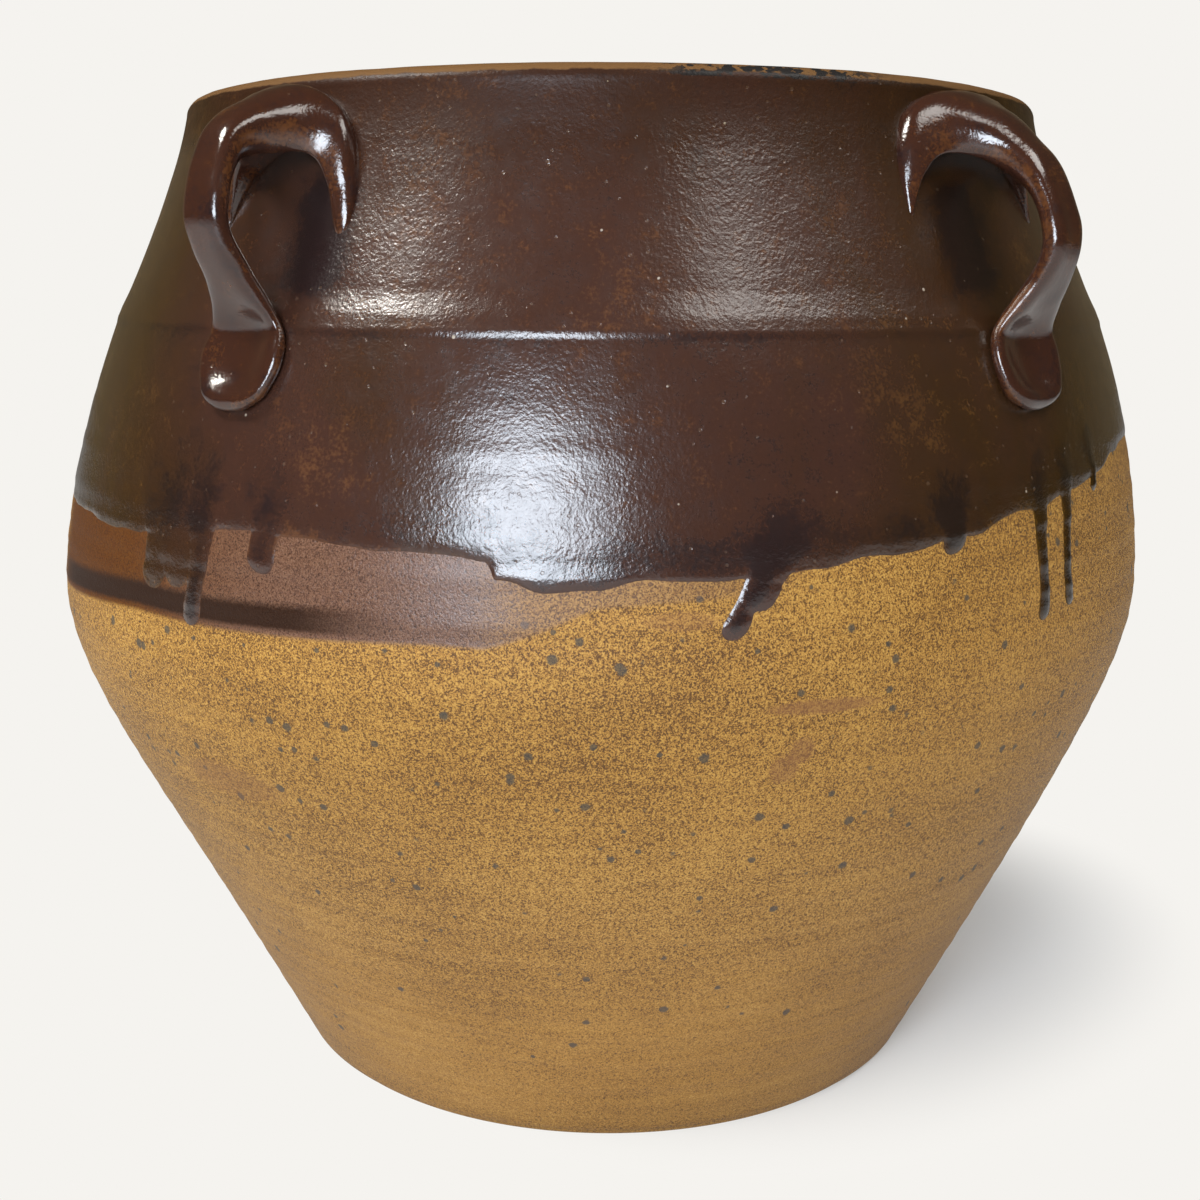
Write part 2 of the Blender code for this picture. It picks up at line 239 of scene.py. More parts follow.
def wallRadius(height):
    plain = plainRadius(height)
    soft = potForm["ridgeSoft"]
    rounded = (plainRadius(height - soft) + 2 * plain + plainRadius(height + soft)) / 4
    above = (height - potForm["ridgeHeight"]) / potForm["ridgeFade"]
    below = (potForm["ridgeHeight"] - height) / potForm["ridgeUndercut"]
    step = np.where(above > 0, 1 - smoothStep(above, 0, 1), 1 - smoothStep(below, 0, 1))
    near = abs(height - potForm["ridgeHeight"]) < 3 * soft
    return np.where(near, rounded, plain) + potForm["ridgeStep"] * step


def nearLip(height, start, end):
    return smoothStep(height, neckTop - start, neckTop - end)


def shoulderHeight(share):
    return potForm["bellyHeight"] + share * shoulderSpan


def throwingRings(points):
    around = np.radians(azimuthOf(points))
    height = points[:, 2]
    rings = sum(
        depth * np.sin(tau * height / pitch + turns * around + offset)
        for depth, pitch, turns, offset in potForm["rings"]
    )
    calm = smoothStep(height, *potForm["ringsFrom"]) * (1 - 0.93 * smoothStep(height, *potForm["ringsTo"]))
    return potForm["ringDepth"] * rings * calm


def settle(piece, points):
    # the whole pot leans a little to one side at the belly, as it does after a hot firing
    writePoints(piece.data, points)
    points = readPoints(piece.data)
    lean = potForm["lean"] * hump(points[:, 2], potForm["leanHeight"], potForm["leanReach"])
    points += lean[:, None] * np.array(levelWay(potForm["leanAzimuth"]))
    writePoints(piece.data, points)


# Helpers for the materials.
opened = {}   # the node tree that the helpers add to


def newMaterial(name):
    material = bpy.data.materials.new(name)
    material.use_nodes = True
    opened["tree"] = material.node_tree
    return material, material.node_tree.nodes["Principled BSDF"], addNode("TexCoord").outputs["Object"]


def feed(socket, value):
    # a socket takes another socket or a plain value, and a plain colour gets its alpha here
    if isinstance(value, bpy.types.NodeSocket):
        opened["tree"].links.new(value, socket)
    else:
        socket.default_value = (*value, 1) if socket.type == "RGBA" else value


def addNode(kind, sockets=None, **settings):
    made = opened["tree"].nodes.new("ShaderNode" + kind)
    for name, value in settings.items():
        setattr(made, name, value)
    for name, value in (sockets or {}).items():
        feed(made.inputs[name], value)
    return made


def calc(operation, first, second=0.0, third=0.0, clamp=False):
    sockets = {0: first, 1: second, 2: third}
    return addNode("Math", sockets, operation=operation, use_clamp=clamp).outputs[0]


def times(first, second):
    return calc("MULTIPLY", first, second)


def scaled(value, amount, base, clamp=False):
    return calc("MULTIPLY_ADD", value, amount, base, clamp)


def sway(value, amount, base=0.0, clamp=False):
    # noise that swings both ways round the base
    return scaled(calc("SUBTRACT", value, 0.5), amount, base, clamp)


def vectorMath(operation, first, second=(0, 0, 0)):
    return addNode("VectorMath", {0: first, 1: second}, operation=operation).outputs


def dotWith(vector, direction):
    return vectorMath("DOT_PRODUCT", vector, direction)["Value"]


def heightOf(vector):
    return addNode("SeparateXYZ", {"Vector": vector}).outputs["Z"]


def spread(value, low, high, start=0.0, end=1.0):
    sockets = {"Value": value, "From Min": low, "From Max": high, "To Min": start, "To Max": end}
    return addNode("MapRange", sockets, interpolation_type="SMOOTHSTEP").outputs[0]


def mixColour(share, first, second, blend="MIX"):
    settings = {"data_type": "RGBA", "blend_type": blend, "clamp_factor": True}
    return addNode("Mix", {0: share, 6: first, 7: second}, **settings).outputs[2]


def grain(vector, scale, detail=2.0, roughness=0.5, distortion=0.0):
    sockets = {"Vector": vector, "Scale": scale, "Detail": detail, "Roughness": roughness}
    made = addNode("TexNoise", {**sockets, "Distortion": distortion})
    return made.outputs["Fac"]


def stretched(vector, scale, place=(0.0, 0.0, 0.0)):
    return addNode("Mapping", {"Vector": vector, "Scale": scale, "Location": place}).outputs[0]


def valueOf(name):
    return addNode("Attribute", attribute_name=name).outputs["Fac"]


def sideways(vector, azimuth, low, high):
    # 0 to 1 across the pot, along one level direction
    return spread(dotWith(vector, levelWay(azimuth)), low, high)


def dress(shader, looks, height, distance, strength):
    for name, value in looks.items():
        feed(shader.inputs[name], value)
    bump = addNode("Bump", {"Height": height, "Distance": distance, "Strength": strength})
    feed(shader.inputs["Normal"], bump.outputs[0])


def newGroup(name, inputs, outputs):
    group = bpy.data.node_groups.new(name, "ShaderNodeTree")
    opened["tree"] = group
    for way, sockets in (("INPUT", inputs), ("OUTPUT", outputs)):
        for label, kind in sockets.items():
            group.interface.new_socket(name=label, in_out=way, socket_type="NodeSocket" + kind)
    return group, group.nodes.new("NodeGroupInput").outputs, group.nodes.new("NodeGroupOutput").inputs


def placeGroup(group, sockets):
    return addNode("Group", sockets, node_tree=group).outputs


# Specks scattered through clay or glaze. Scale counts cells to the metre, and the radius is a share of a cell.
speckPlan = {"bend": (900.0, 1.0), "sizes": (0.6, 0.4), "wobble": (0.5, 0.75), "edge": (1.15, 0.75)}


def makeSpeckGroup():
    inputs = {"Vector": "Vector", "Scale": "Float", "Share": "Float", "Radius": "Float"}
    group, given, out = newGroup("scattered specks", inputs, {"Mask": "Float"})
    bent = grain(given["Vector"], *speckPlan["bend"])
    place = {"Vector": given["Vector"], "Scale": given["Scale"]}
    cells = addNode("TexVoronoi", place, feature="F1")
    chances = addNode("SeparateColor", {"Color": cells.outputs["Color"]})
    chosen = calc("LESS_THAN", chances.outputs["Red"], given["Share"])
    size = scaled(chances.outputs["Green"], *speckPlan["sizes"])
    wobble = scaled(bent, *speckPlan["wobble"])
    far = times(cells.outputs["Distance"], wobble)
    far = calc("DIVIDE", far, times(size, given["Radius"]))
    inside = spread(far, *speckPlan["edge"])
    feed(out["Mask"], times(inside, chosen))
    return group


speckGroup = makeSpeckGroup()


def specks(vector, share, scale, radius):
    sockets = {"Vector": vector, "Scale": scale, "Share": share, "Radius": radius}
    return placeGroup(speckGroup, sockets)["Mask"]


# Fluid iron glaze. It breaks to the thin colour where it has run off and pools to the deep one.
fluidPlan = {
    # noise: scale, detail, roughness, distortion
    "clouds": (26.0, 4.0, 0.6, 0.6),
    "mottle": (210.0, 3.0, 0.6),
    "fine": (1150.0, 2.0, 0.6),
    "peel": (1250.0, 2.0, 0.55),
    "ripple": (560.0, 2.0, 0.5),
    # how far the first three sway the depth
    "sways": (0.65, 0.85, 0.9),
    "bodyDepth": (0.1, 0.5),
    "deepDepth": (0.6, 1.15),
    # specks: cells to the metre, radius
    "bubbles": (330.0, 0.16),
    "bubbleColour": (0.24, 0.15, 0.09),
    "ash": (140.0, 0.075),
    "ashColour": (0.4, 0.33, 0.25),
    "roughness": (0.18, 0.12),
    "thinRoughness": (0.5, 0.1, 0.0, 0.16),
}


def makeGlazeGroup():
    plan = fluidPlan
    inputs = {"Vector": "Vector", "Thickness": "Float", "Pits": "Float"}
    inputs.update({"Thin": "Color", "Body": "Color", "Deep": "Color"})
    outputs = {"Colour": "Color", "Roughness": "Float", "Height": "Float"}
    group, given, out = newGroup("fluid iron glaze", inputs, outputs)
    vector = given["Vector"]
    layers = ("clouds", "mottle", "fine", "peel", "ripple")
    clouds, mottle, fine, peel, ripple = (grain(vector, *plan[name]) for name in layers)
    depth = given["Thickness"]
    for layer, amount in zip((clouds, mottle, fine), plan["sways"]):
        depth = sway(layer, amount, depth)
    colour = mixColour(spread(depth, *plan["bodyDepth"]), given["Thin"], given["Body"])
    colour = mixColour(spread(depth, *plan["deepDepth"]), colour, given["Deep"])
    bubbles = specks(vector, given["Pits"], *plan["bubbles"])
    ash = specks(vector, times(given["Pits"], 0.5), *plan["ash"])
    colour = mixColour(times(bubbles, 0.14), colour, plan["bubbleColour"])
    colour = mixColour(times(ash, 0.7), colour, plan["ashColour"])
    feed(out["Colour"], colour)
    rough = scaled(mottle, *plan["roughness"])
    rough = scaled(ash, 0.3, rough)
    rough = calc("ADD", rough, spread(given["Thickness"], *plan["thinRoughness"]))
    feed(out["Roughness"], rough)
    height = scaled(bubbles, -0.5, calc("ADD", ripple, peel))
    feed(out["Height"], scaled(ash, 0.6, height))
    return group


glazeGroup = makeGlazeGroup()


def layGlaze(vector, thickness, thin, body, deep, pits):
    colours = {"Thin": thin, "Body": body, "Deep": deep}
    return placeGroup(glazeGroup, {"Vector": vector, "Thickness": thickness, "Pits": pits, **colours})


# Bare stoneware: ochre, full of iron, with a thin wash below the glaze on its left side.
clayPlan = {
    "light": (0.47, 0.272, 0.075),
    "ochre": (0.318, 0.157, 0.034),
    "dark": (0.09, 0.04, 0.012),
    "iron": (0.048, 0.046, 0.044),
    "redder": (1.0, 0.96, 0.78),
    "wash": (0.1, 0.046, 0.03),
    "washLight": (0.14, 0.068, 0.045),
    "washLeft": (0.082, 0.022, 0.002),
    "washStripe": (0.02, 0.008, 0.004),
    "stain": (0.2, 0.085, 0.03),
    # noise: scale, detail, roughness
    "sand": (2300.0, 3.0, 0.7),
    "grit": (1150.0, 3.0, 0.65),
    "drift": (24.0, 3.0, 0.55),
    "bands": (6.0, 3.0, 0.6),
    "bandStretch": (1.6, 1.6, 60.0),
    # how far each sways the tone
    "sandSway": 2.5,
    "gritSway": 1.6,
    "driftSway": 0.42,
    "bandSway": 0.35,
    # heights between which the grain sharpens, the iron comes in and the clay turns redder
    "sharpFrom": (0.035, 0.115),
    "ironFrom": (0.05, 0.15),
    "redFrom": (0.07, 0.14),
    # specks: cells to the metre, radius, strength
    "grains": (700.0, 0.38, 0.55),
    "spots": (175.0, 0.26, 0.8),
    "blooms": (75.0, 0.115, 0.85),
    # middle, reach across and up, and strength of each stain on the wall
    "stains": (
        ((0.147, -0.086, 0.1487), (0.017, 0.0022), 0.62),
        ((0.1412, -0.0885, 0.1372), (0.0036, 0.0042), 0.5),
        ((0.1385, -0.0915, 0.1322), (0.0042, 0.0046), 0.5),
        ((0.1265, -0.117, 0.171), (0.01, 0.0025), 0.35),
        ((0.01, -0.16, 0.118), (0.02, 0.006), 0.35),
    ),
    "stainDepth": 0.03,
    "washCover": 0.94,
    "washLeftFrom": (221.5, 0.075, 0.13),
}


def addStain(vector, colour, ragged, place, reach, strength):
    # an oval on the wall with a ragged edge
    off = vectorMath("SUBTRACT", vector, place)["Vector"]
    out = levelWay(degrees(atan2(place[1], place[0])))
    ways = (
        (dotWith(off, (-out[1], out[0], 0)), reach[0]),
        (heightOf(off), reach[1]),
        (dotWith(off, out), clayPlan["stainDepth"]),
    )
    far = ragged
    for way, size in ways:
        far = calc("ADD", far, calc("POWER", calc("DIVIDE", way, size), 2.0))
    return mixColour(spread(far, 1.2, 0.4, 0.0, strength), colour, clayPlan["stain"])


def makeClay():
    plan = clayPlan
    material, shader, vector = newMaterial("bareStoneware")
    height = heightOf(vector)
    sand, grit, drift = (grain(vector, *plan[name]) for name in ("sand", "grit", "drift"))
    bands = grain(stretched(vector, plan["bandStretch"]), *plan["bands"])
    sharp = spread(height, *plan["sharpFrom"], 0.5, 1.0)
    tone = sway(sand, times(sharp, plan["sandSway"]), 0.5)
    tone = sway(grit, times(sharp, plan["gritSway"]), tone)
    tone = sway(drift, plan["driftSway"], tone)
    tone = sway(bands, plan["bandSway"], tone)
    colour = mixColour(spread(tone, 0.15, 0.55), plan["dark"], plan["ochre"])
    colour = mixColour(spread(tone, 0.5, 1.0), colour, plan["light"])
    # most of the iron lies in the upper clay
    rich = spread(height, *plan["ironFrom"], 0.1, 0.42)
    size, radius, strength = plan["grains"]
    grains = specks(vector, 0.4, size, radius)
    colour = mixColour(times(grains, times(sharp, strength)), colour, plan["dark"])
    for name, share in (("spots", rich), ("blooms", times(rich, 0.6))):
        size, radius, strength = plan[name]
        spots = specks(vector, share, size, radius)
        colour = mixColour(times(spots, strength), colour, plan["iron"])
    colour = mixColour(spread(height, *plan["redFrom"]), colour, plan["redder"], "MULTIPLY")
    ragged = sway(grit, 0.9, sway(drift, 1.2))
    for stain in plan["stains"]:
        colour = addStain(vector, colour, ragged, *stain)
    # the wash: how far above its lower edge a point is, in millimetres, and how strong it is there
    gap = sway(grit, 1.6, valueOf("washGap"))
    washed = times(spread(gap, -0.7, 0.9), valueOf("washStrength"))
    washTone = mixColour(spread(grit, 0.3, 0.7), plan["wash"], plan["washLight"])
    leftShare = sideways(vector, *plan["washLeftFrom"])
    washTone = mixColour(leftShare, washTone, plan["washLeft"])
    washTone = mixColour(spread(sand, 0.5, 0.36, 0.0, 0.8), washTone, plan["washStripe"])
    colour = mixColour(times(washed, plan["washCover"]), colour, washTone)
    # a dark stripe just above the wash's edge
    stripe = times(spread(gap, 0.9, 2.4), spread(gap, 9.2, 6.4))
    stripe = times(stripe, valueOf("stripeStrength"))
    colour = mixColour(times(stripe, plan["washCover"]), colour, plan["washStripe"])
    # the wash is smoother than the clay, but dull on the left and in its stripe
    smoother = times(washed, calc("SUBTRACT", 1.0, leftShare))
    rough = scaled(smoother, -0.34, scaled(sand, 0.2, 0.5))
    matt = calc("MAXIMUM", stripe, times(washed, leftShare))
    shine = scaled(washed, 0.2, 0.3)
    shine = scaled(matt, -0.36, shine, clamp=True)
    relief = scaled(grains, 0.5, scaled(grit, 1.4, sand))
    looks = {"Base Color": colour, "Roughness": rough, "Specular IOR Level": shine}
    dress(shader, looks, relief, 0.00009, 0.6)
    return material


# The glazes: the thin colour, the body, the deep one, and for some the share of pits.
glazePlan = {
    "red": ((0.086, 0.035, 0.016), (0.041, 0.0165, 0.0105), (0.017, 0.0085, 0.008)),
    "olive": ((0.064, 0.03, 0.004), (0.029, 0.013, 0.0012), (0.013, 0.0065, 0.002)),
    "handle": ((0.088, 0.031, 0.01), (0.036, 0.0125, 0.007), (0.015, 0.0075, 0.008), 0.15),
    "lining": ((0.16, 0.085, 0.028), (0.07, 0.036, 0.016), (0.022, 0.012, 0.008), 0.4),
    "pits": 0.5,
    "index": 1.62,
    "rightAzimuth": 41.5,
    "leftAzimuth": 221.5,
    # noise: scale, detail, roughness, distortion
    "patches": (17.0, 3.0, 0.55, 0.8),
    "dry": (130.0, 4.0, 0.65),
    "sootGrain": (230.0, 3.0, 0.6),
    "broken": (62.0, 3.0, 0.55, 0.7),
    # the painted shade in the band under the lip: its tint, and the heights over which it comes in and dries
    "lipShadeTint": (0.74, 0.7, 0.58),
    "lipShadeFrom": (0.262, 0.289),
    "dryFrom": (0.28, 0.2925),
    "dullFrom": (0.278, 0.2915),
    "worn": (0.125, 0.06, 0.019),
    "soot": (0.012, 0.01, 0.009),
}


def makeCoatGlaze():
    plan = glazePlan
    material, shader, vector = newMaterial("brownGlaze")
    rightAzimuth = plan["rightAzimuth"]
    # reddish in the middle, olive towards both sides
    right = sideways(vector, rightAzimuth, 0.015, 0.135)
    left = sideways(vector, plan["leftAzimuth"], 0.085, 0.15)
    patches = grain(stretched(vector, (1.0, 1.0, 0.7), (2.3, 0.4, 1.1)), *plan["patches"])
    olive = sway(patches, 1.6, calc("MAXIMUM", right, left), clamp=True)
    colours = [mixColour(olive, *pair) for pair in zip(plan["red"], plan["olive"])]
    # the coat's depth for the colour, which also holds the painted shadows behind the handles
    thick = valueOf("coatDepthAndShade")
    glaze = layGlaze(vector, thick, *colours, plan["pits"])
    height = heightOf(vector)
    # painted shade: the band under the lip is multiplied darker
    lipShade = spread(height, *plan["lipShadeFrom"])
    colour = mixColour(lipShade, glaze["Colour"], plan["lipShadeTint"], "MULTIPLY")
    # the crest of the lip is worn to a dry ochre, with soot left in its hollows
    worn = valueOf("lipWear")
    dry = grain(vector, *plan["dry"])
    wornShare = spread(scaled(dry, 0.9, worn), 0.95, 1.25)
    colour = mixColour(wornShare, colour, plan["worn"])
    start = sideways(vector, rightAzimuth, 0.006, 0.02)
    end = sideways(vector, rightAzimuth, 0.058, 0.076)
    sooty = times(spread(worn, 0.0, 0.15), calc("SUBTRACT", start, end, clamp=True))
    soot = spread(grain(stretched(vector, (1, 1, 2.2)), *plan["sootGrain"]), 0.46, 0.51)
    colour = mixColour(times(soot, sooty), colour, plan["soot"])
    rough = scaled(wornShare, 0.3, glaze["Roughness"])
    rough = calc("ADD", rough, spread(height, *plan["dryFrom"], 0.0, 0.14))
    dull = spread(height, *plan["dullFrom"], 0.5, 0.1)
    shine = calc("MINIMUM", dull, spread(thick, 0.26, 0.5, 0.12, 0.5))
    looks = {"Base Color": colour, "Roughness": rough, "Specular IOR Level": shine, "IOR": plan["index"]}
    dress(shader, looks, glaze["Height"], 0.000085, 0.9)
    return material


def makeHandleGlaze():
    material, shader, vector = newMaterial("handleGlaze")
    # thin on the strap's edges, where it breaks to orange
    rim = spread(valueOf("strapRim"), 0.72, 1.0)
    thick = scaled(rim, -0.34, 0.62)
    thick = sway(grain(vector, *glazePlan["broken"]), 1.1, thick)
    glaze = layGlaze(vector, thick, *glazePlan["handle"])
    rough = times(glaze["Roughness"], 0.7)
    looks = {"Base Color": glaze["Colour"], "Roughness": rough, "IOR": glazePlan["index"]}
    dress(shader, looks, glaze["Height"], 0.00007, 0.8)
    return material


def makeLiningGlaze():
    material, shader, vector = newMaterial("liningGlaze")
    thick = valueOf("liningThickness")
    glaze = layGlaze(vector, thick, *glazePlan["lining"])
    looks = {"Base Color": glaze["Colour"], "Roughness": glaze["Roughness"]}
    dress(shader, looks, glaze["Height"], 0.00006, 0.7)
    return material


# The pot itself.
wallPlan = {
    "columns": 288,
    "rowStep": 0.0017,
    "innerStep": 0.004,
    "innerRib": 0.0003,     # depth of the ribs that the fingers leave inside
    "innerPitch": 0.0095,
    # lower edge of the wash: azimuth, height
    "washLine": (
        (236, 0.158), (250, 0.16), (266, 0.1628), (277, 0.1625), (288, 0.1632), (298, 0.1644),
        (303, 0.164), (307, 0.168), (311, 0.1738), (316, 0.175), (324, 0.1765), (331, 0.182),
    ),
    # azimuths between which the wash and its stripe come in and fade
    "washFrom": (236, 246),
    "washThins": (300, 308),
    "washTo": (318, 330),
    "stripe": ((238, 250), (285, 297)),
    "noWash": 0.25,          # height of the wash's edge where there is none
}


def washEdge(azimuth):
    places, heights = zip(*wallPlan["washLine"])
    inside = (azimuth >= places[0]) & (azimuth <= places[-1])
    return np.where(inside, np.interp(azimuth, places, heights), wallPlan["noWash"])


def lipArc(facets, start, end, shrink=0.0):
    half = potForm["wall"] / 2
    middle = potForm["rimRadius"] - half
    size = half - shrink
    turns = np.radians(np.linspace(start, end, facets + 1))
    return [(middle + size * cos(turn), neckTop + size * sin(turn)) for turn in turns]


def outerStations(low, high, step):
    # closer together round the ridge, where the wall turns sharply
    ridge = potForm["ridgeHeight"]
    near = np.arange(ridge - 0.0028, ridge + 0.011, 0.00045)
    far = np.arange(low, high, step)
    far = far[(far < near[0] - step / 2) | (far > near[-1] + step / 2)]
    heights = np.sort(np.concatenate([far, near[(near > low) & (near < high)]]))
    return [(float(wallRadius(height)), float(height)) for height in heights]


def innerStations(step):
    wall, floor, corner = potForm["wall"], potForm["floor"], potForm["corner"]
    foot = plainAt(floor + corner) - wall * 1.05
    points = [(radius, floor) for radius in np.arange(0.004, foot - corner, step)]
    for turn in np.radians(np.linspace(0, 75, 9)):
        points.append((foot - corner + corner * sin(turn), floor + corner - corner * cos(turn)))
    for height in np.arange(points[-1][1] + step, neckTop, step):
        slope = (plainAt(height + 0.001) - plainAt(height - 0.001)) / 0.002
        points.append((plainAt(height) - wall * hypot(1, slope), float(height)))
    return points


def makePotWall():
    plan = wallPlan
    edge, foot = potForm["footEdge"], potForm["footRadius"]
    base = [(radius, 0.0) for radius in np.linspace(0, foot - edge, 14)[:-1]]
    for turn in np.radians(np.linspace(-90, -12, 6)):
        base.append((foot - edge + edge * cos(turn), edge + edge * sin(turn)))
    outer = outerStations(edge, neckTop, plan["rowStep"])
    inside = innerStations(plan["innerStep"])
    mesh = bmesh.new()
    outline = base + outer + lipArc(12, 0, 180) + inside[::-1] + [(0, potForm["floor"])]
    spinOutline(mesh, outline, plan["columns"])
    piece = asPiece(mesh, "potWall", makeClay())
    points, normals, radius, height = readSkin(piece)
    outside = (facingOut(points, normals) > 0) & (height < neckTop) & (radius > foot - edge)
    outside &= radius > plainRadius(height) - potForm["wall"] / 2
    points += normals * np.where(outside, throwingRings(points), 0)[:, None]
    azimuth = azimuthOf(points)
    strength = smoothStep(azimuth, *plan["washFrom"]) * (1 - 0.55 * smoothStep(azimuth, *plan["washThins"]))
    strength = strength * (1 - smoothStep(azimuth, *plan["washTo"]))
    settle(piece, points)
    writeValues(piece, "washGap", (height - washEdge(azimuth)) * 1000)
    writeValues(piece, "washStrength", strength)
    writeValues(piece, "stripeStrength", window(azimuth, *plan["stripe"]))
    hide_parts("pot_body")
    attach(piece, "root")


makePotWall()
print("pot turned")


# The glaze coat: one skin whose lower edge and runs stand proud of the clay.
coatPlan = {
    "columns": 540,
    "rowStep": 0.0019,
    "lowest": 0.1545,
    "thickness": 0.3,         # millimetres
    "edgeReach": 1.5,         # millimetres over which it thickens from its edge
    "bead": 0.05,             # how much thicker it is just above its edge
    "sink": 0.34,             # how deep it lies in the clay where there is no glaze
    "core": 0.0016,           # how deep the back of the skin lies
    "tucks": (0.006, 0.004, 0.002),   # its rows inside the lip
    "runWidth": 0.0062,
    "runRoot": 0.011,
    # reach round the edge, in millimetres, within which each refining halves the faces
    "refine": (3.6, 1.7),
    # azimuth, and height as a share of the way from belly to ridge
    "line": (
        (0, 0.462), (5, 0.5), (12, 0.56), (22, 0.58), (35, 0.6), (60, 0.528), (90, 0.404),
        (120, 0.306), (150, 0.283), (180, 0.351), (205, 0.411), (230, 0.366), (248, 0.33),
        (256, 0.322), (264, 0.315), (271, 0.345), (278, 0.375), (284.5, 0.372), (293, 0.36),
        (298, 0.347), (302.3, 0.34), (303.4, 0.29), (307, 0.253), (311, 0.262), (316, 0.285),
        (323, 0.292), (329, 0.305), (336, 0.34), (344, 0.368), (351, 0.425), (360, 0.462),
    ),
    # the edge's fine wobble: size, waves round the pot, offset
    "wobbles": ((0.00035, 23, 1.0), (0.00028, 41, 2.2), (0.00016, 77, 0.0)),
    # azimuth, height of the tip, share of the width, degrees of lean on the way down, millimetres thick
    "runs": (
        (268.6, 0.15, 2.2, 0.5, 0.4), (271.9, 0.168, 2.6, 0.1, 0.42), (274.9, 0.058, 1.2, -0.1, 0.62),
        (282.2, 0.252, 1.7, 0.2, 0.55), (326.2, 0.19, 1.9, -2.1, 0.38), (325.6, 0.108, 1.2, -3.4, 0.44),
        (342.2, 0.318, 1.5, 0.0, 0.9), (353.9, 0.062, 0.84, -0.3, 0.65), (358.4, 0.09, 0.74, -0.6, 0.6),
        (4.2, 0.445, 0.74, 0.4, 0.65), (66.0, 0.245, 0.95, 0.6, 0.95), (118.0, 0.075, 1.05, -0.8, 1.0),
        (124.5, 0.177, 0.75, 0.0, 0.9), (171.0, 0.117, 1.0, 1.5, 1.0), (214.0, 0.189, 1.2, -0.6, 1.0),
    ),
    # share of a run's way down, share of its width, share of its thickness
    "runForm": (
        (0.0, 1.7, 0.35), (0.24, 1.32, 0.55), (0.47, 0.92, 0.72),
        (0.7, 0.8, 0.88), (0.9, 0.92, 1.0), (1.0, 0.98, 1.0),
    ),
    # unevenness: millimetres, size of a lump, seed
    "uneven": ((0.07, 0.012, 1), (0.035, 0.0045, 2), (0.1, 0.035, 3)),
    # azimuths between which it pools fully above its edge
    "front": ((286, 300), (340, 350)),
    # where the colour sees the glaze as thinner or pooled by the ridge: share, offset, reach
    "ridgePools": ((-0.15, 0.0004, 0.0013), (0.26, -0.0014, 0.0021)),
    # azimuths of the painted shadows on the neck behind the handles, laid in as deeper glaze; their share and
    # reach in degrees
    "handleShadows": (350.6, 281.8, 170.6, 99.4),
    "handleShadowForm": (0.85, 3.8),
    "handleShadowBand": ((0.24, 0.25), (0.268, 0.277)),
}


def glazeLine(azimuth):
    places, shares = (np.array(column, float) for column in zip(*coatPlan["line"]))
    index = np.clip(np.searchsorted(places, azimuth, side="right") - 1, 0, len(places) - 2)
    way = (azimuth - places[index]) / (places[index + 1] - places[index])
    ease = (1 - np.cos(np.pi * way)) / 2
    turn = np.radians(azimuth)
    wobble = sum(size * np.sin(waves * turn + offset) for size, waves, offset in coatPlan["wobbles"])
    return shoulderHeight(between(shares[index], shares[index + 1], ease)) + wobble


def runFields(height, azimuth, radius, place, tipShare, widthShare, lean, depth):
    # how far inside a run each point is, in millimetres, and how thick the run is there
    ways, widths, depths = zip(*coatPlan["runForm"])
    top = float(glazeLine(np.array([place % 360.0]))[0]) + coatPlan["runRoot"]
    tip = float(shoulderHeight(tipShare))
    way = np.clip((top - height) / (top - tip), 0, 1)
    wander = 0.35 * np.sin(7 * way + place) * way
    side = np.radians(turnFrom(azimuth, place + lean * way + wander)) * radius * 1000
    half = np.interp(way, ways, widths) * coatPlan["runWidth"] * widthShare * 500
    endHalf = widths[-1] * coatPlan["runWidth"] * widthShare * 500
    below = np.clip(tip * 1000 + endHalf - height * 1000, 0, None)
    above = np.clip(height * 1000 - top * 1000, 0, None)
    run = half - np.hypot(np.hypot(side, below), above)
    across = np.clip(1 - run / half, 0, 1)
    dome = depth * np.interp(way, ways, depths) * (1 - across**2.2) ** 0.9
    return run, np.where(run > 0, dome, run * 0.5)


def coatFields(points):
    # for each point the way up from the glaze's edge, in millimetres, and the glaze's thickness
    azimuth, height = azimuthOf(points), points[:, 2]
    radius = wallRadius(height)
    slope = (glazeLine((azimuth + 0.4) % 360) - glazeLine((azimuth - 0.4) % 360)) / (np.radians(0.8) * radius)
    gap = (height - glazeLine(azimuth)) / np.sqrt(1 + slope**2) * 1000
    full = coatPlan["thickness"] * (1 - np.exp(-np.clip(gap, 0, None) / coatPlan["edgeReach"]))
    thick = np.where(gap > 0, full + coatPlan["bead"] * hump(gap, 2.4, 1.9), gap * 0.5)
    for item in coatPlan["runs"]:
        run, dome = runFields(height, azimuth, radius, *item)
        lower, higher = np.minimum(thick, dome), np.maximum(thick, dome)
        # where a run meets the coat or another run the glaze fills the corner
        thick = higher + np.where(higher > 0, 0.22 * np.exp(-(higher - lower) / 0.22), 0) * (lower > 0)
        gap = np.maximum(gap, run)
    return gap, np.where(gap > 0, thick, np.maximum(gap * 0.5, -coatPlan["sink"]))


def refineEdge(mesh, reach):
    faces = [face for face in mesh.faces if face.calc_center_median().z > coatPlan["lowest"] - 0.001]
    centres = np.array([face.calc_center_median() for face in faces])
    depth = wallRadius(centres[:, 2]) - np.hypot(centres[:, 0], centres[:, 1])
    near = (np.abs(coatFields(centres)[0]) < reach) & (depth < 0.0004) & (centres[:, 2] < potForm["ridgeHeight"])
    edges = {edge for face, chosen in zip(faces, near) if chosen for edge in face.edges}
    bmesh.ops.subdivide_edges(mesh, edges=list(edges), cuts=1, use_grid_fill=True)


